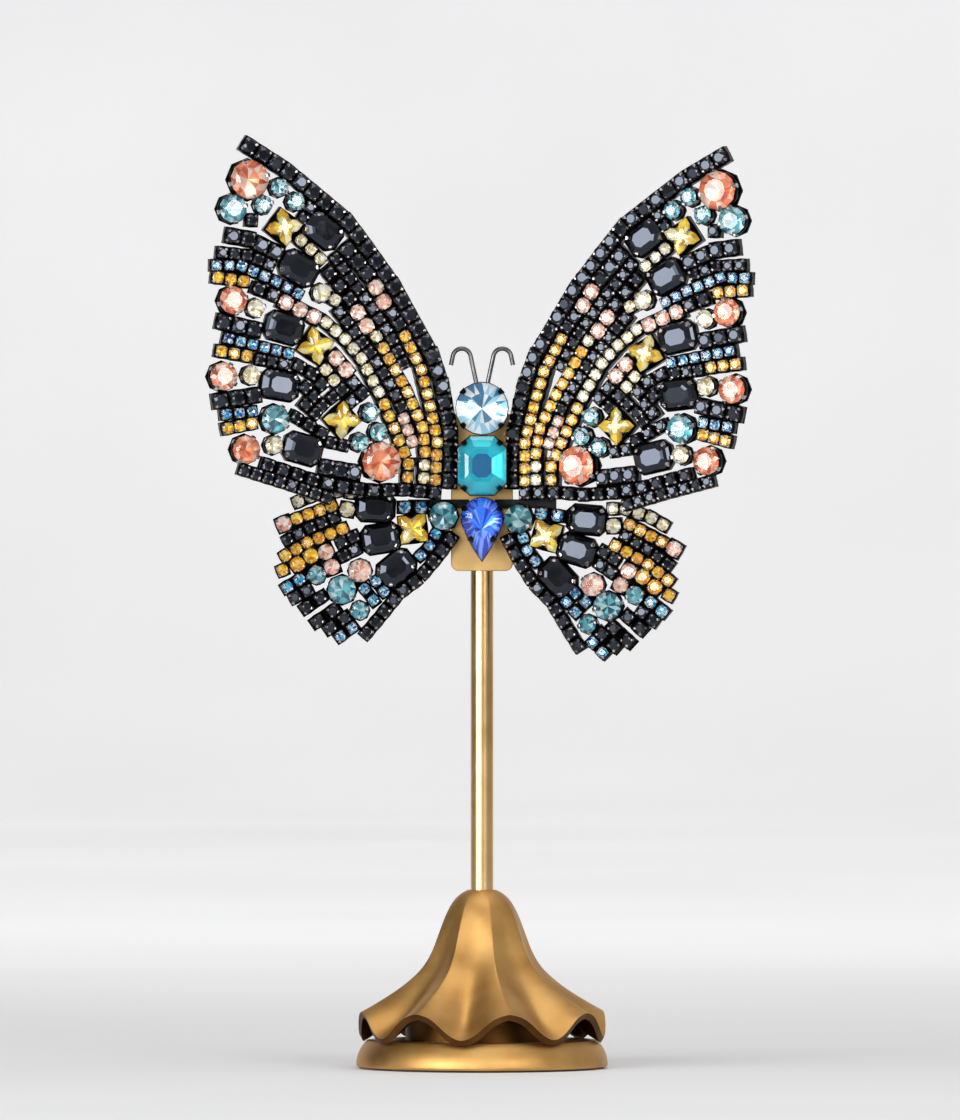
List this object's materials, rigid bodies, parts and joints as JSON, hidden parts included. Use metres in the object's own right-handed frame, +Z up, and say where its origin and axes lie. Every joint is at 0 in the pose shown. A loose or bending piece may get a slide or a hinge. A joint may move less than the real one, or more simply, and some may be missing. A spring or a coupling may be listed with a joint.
{
  "type": "butterfly ornament",
  "caption": "Jewelled butterfly with claw-set coloured glass stones on swept open wings, carried by a brass rod on a fluted petal foot, as a table ornament.",
  "frame": {"origin": "centre of the foot's flat underside, under the rod's axis, on the table", "axes": "+Z up along the rod, -Y towards the viewer, +X to the viewer's right"},
  "size_m": [0.1075, 0.0514, 0.1827],
  "materials": {
    "felt": "dense dark felt",
    "brass": "satin golden brass",
    "steel": "plain zinc-plated steel",
    "gunmetal": "black japanned metal with worn bright claws",
    "jet": "foiled black cut glass",
    "amber": "foiled amber cut glass",
    "jonquil": "foiled pale yellow cut glass",
    "rose": "foiled pale rose cut glass",
    "aurora": "foiled blue cut glass with a rainbow coating",
    "aqua": "foiled grey-green aqua cut glass",
    "peach": "foiled peach cut glass",
    "star": "foiled yellow square glass with a cross cut",
    "octagon": "foiled black step-cut glass",
    "head": "foiled ice-blue cut glass",
    "thorax": "foiled turquoise step-cut glass",
    "abdomen": "foiled sapphire pear-cut glass"
  },
  "bodies": {
    "root": {"abdomen_setting": "gunmetal", "abdomen_stone": "abdomen", "antenna_left": "gunmetal", "antenna_right": "gunmetal", "back_plate": "brass", "base_disc": "brass", "felt_pad": "felt", "forewing_carrier": "gunmetal", "forewing_left_amber": "amber", "forewing_left_aqua": "aqua", "forewing_left_aurora": "aurora", "forewing_left_jet": "jet", "forewing_left_jonquil": "jonquil", "forewing_left_octagon": "octagon", "forewing_left_peach": "peach", "forewing_left_rose": "rose", "forewing_left_setting": "gunmetal", "forewing_left_star": "star", "forewing_right_amber": "amber", "forewing_right_aqua": "aqua", "forewing_right_aurora": "aurora", "forewing_right_jet": "jet", "forewing_right_jonquil": "jonquil", "forewing_right_octagon": "octagon", "forewing_right_peach": "peach", "forewing_right_rose": "rose", "forewing_right_setting": "gunmetal", "forewing_right_star": "star", "head_setting": "gunmetal", "head_stone": "head", "hindwing_carrier": "gunmetal", "hindwing_left_amber": "amber", "hindwing_left_aqua": "aqua", "hindwing_left_aurora": "aurora", "hindwing_left_jet": "jet", "hindwing_left_jonquil": "jonquil", "hindwing_left_octagon": "octagon", "hindwing_left_rose": "rose", "hindwing_left_setting": "gunmetal", "hindwing_left_star": "star", "hindwing_right_amber": "amber", "hindwing_right_aqua": "aqua", "hindwing_right_aurora": "aurora", "hindwing_right_jet": "jet", "hindwing_right_jonquil": "jonquil", "hindwing_right_octagon": "octagon", "hindwing_right_rose": "rose", "hindwing_right_setting": "gunmetal", "hindwing_right_star": "star", "petal_skirt": "brass", "spacer_sleeve": "brass", "stem_nut": "steel", "stem_rod": "brass", "stem_washer": "steel", "thorax_setting": "gunmetal", "thorax_stone": "thorax"}
  },
  "joints": []
}
